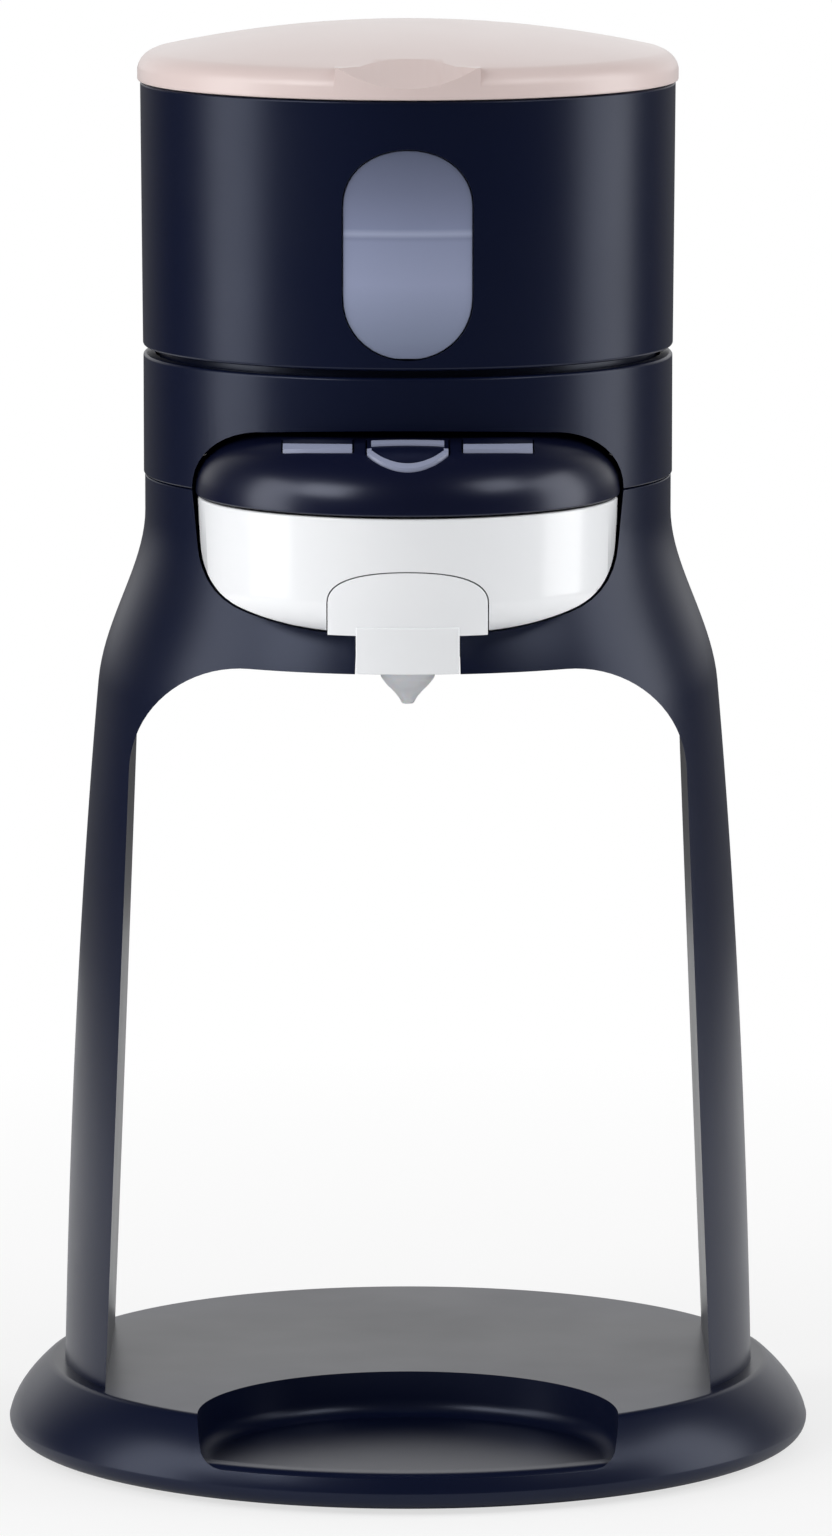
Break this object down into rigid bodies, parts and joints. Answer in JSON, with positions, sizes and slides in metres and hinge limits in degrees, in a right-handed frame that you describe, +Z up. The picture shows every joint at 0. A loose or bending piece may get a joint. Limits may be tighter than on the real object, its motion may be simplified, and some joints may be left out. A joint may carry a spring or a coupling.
{
  "type": "baby formula maker",
  "caption": "Countertop formula maker: round base with a recessed stand, two-legged frame, drum with lift-off water tank, hinged lid, domed key console and round powder drawer.",
  "frame": {"origin": "on the table under the drum's axis, bottom centre of the whole part's box", "axes": "+Z up along the drum's axis; -Y towards the user, where the drawer opens; +X to the user's right"},
  "size_m": [0.2, 0.2, 0.3548],
  "materials": {
    "navy_shell": "satin moulded, dark navy",
    "navy_gloss": "glossy moulded, dark navy",
    "lid_rose": "pearly satin, pale rose",
    "drawer_white": "glossy white",
    "window_clear": "frosted translucent",
    "nozzle_silicone": "matt grey silicone",
    "rubber_black": "matt",
    "inner_grey": "plain moulded",
    "steel": "bright drawn",
    "board_green": "lacquered board",
    "heater_metal": "cast"
  },
  "bodies": {
    "stand": {"base_shell": "navy_shell", "base_plate": "rubber_black", "base_feet": "rubber_black", "base_screws": "steel", "leg_frame": "navy_shell", "leg_screws": "steel", "drum_housing": "navy_shell", "tank_seat": "inner_grey", "console_cover": "navy_gloss", "console_tray": "inner_grey", "key_mat": "nozzle_silicone", "key_board": "board_green", "spray_head": "inner_grey", "drawer_rails": "inner_grey", "water_pump": "rubber_black", "heater": "heater_metal", "spray_hose": "nozzle_silicone", "control_board": "board_green", "cord_gland": "rubber_black"},
    "drawer": {"drawer_bowl": "drawer_white", "spout_block": "drawer_white", "drip_nozzle": "nozzle_silicone", "powder_sieve": "drawer_white"},
    "tank": {"tank_shell": "navy_shell", "tank_liner": "window_clear", "tank_outlet": "inner_grey", "tank_seal": "rubber_black", "valve_spring": "steel", "hinge_pin": "steel"},
    "lid": {"tank_lid": "lid_rose", "lid_seal": "nozzle_silicone"},
    "valve": {"valve_plunger": "nozzle_silicone"},
    "centre_key": {"key_centre": "navy_gloss"},
    "left_key": {"key_left": "navy_gloss"},
    "right_key": {"key_right": "navy_gloss"}
  },
  "joints": [
    {"name": "tank_lift", "type": "slide", "parent": "stand", "child": "tank", "axis": [0, 0, 1], "range_m": [0, 0.09]},
    {"name": "lid_hinge", "type": "hinge", "parent": "tank", "child": "lid", "pos_m": [0, 0.0699, 0.3416], "axis": [-1, 0, 0], "range_deg": [0, 100]},
    {"name": "valve_travel", "type": "slide", "parent": "tank", "child": "valve", "axis": [0, 0, -1], "range_m": [0, 0.003], "deforming": ["valve_spring"]},
    {"name": "drawer_slide", "type": "slide", "parent": "stand", "child": "drawer", "axis": [0, -1, 0], "range_m": [0, 0.11]},
    {"name": "centre_key_press", "type": "slide", "parent": "stand", "child": "centre_key", "axis": [0, 0, -1], "range_m": [0, 0.0012], "stiffness_N_per_m": 400, "springref_m": -0.0005},
    {"name": "left_key_press", "type": "slide", "parent": "stand", "child": "left_key", "axis": [0, 0, -1], "range_m": [0, 0.0012], "stiffness_N_per_m": 400, "springref_m": -0.0005},
    {"name": "right_key_press", "type": "slide", "parent": "stand", "child": "right_key", "axis": [0, 0, -1], "range_m": [0, 0.0012], "stiffness_N_per_m": 400, "springref_m": -0.0005}
  ],
  "couplings": [
    {"joint": "valve_travel", "follows": "tank_lift", "ratio": 0.0333}
  ]
}
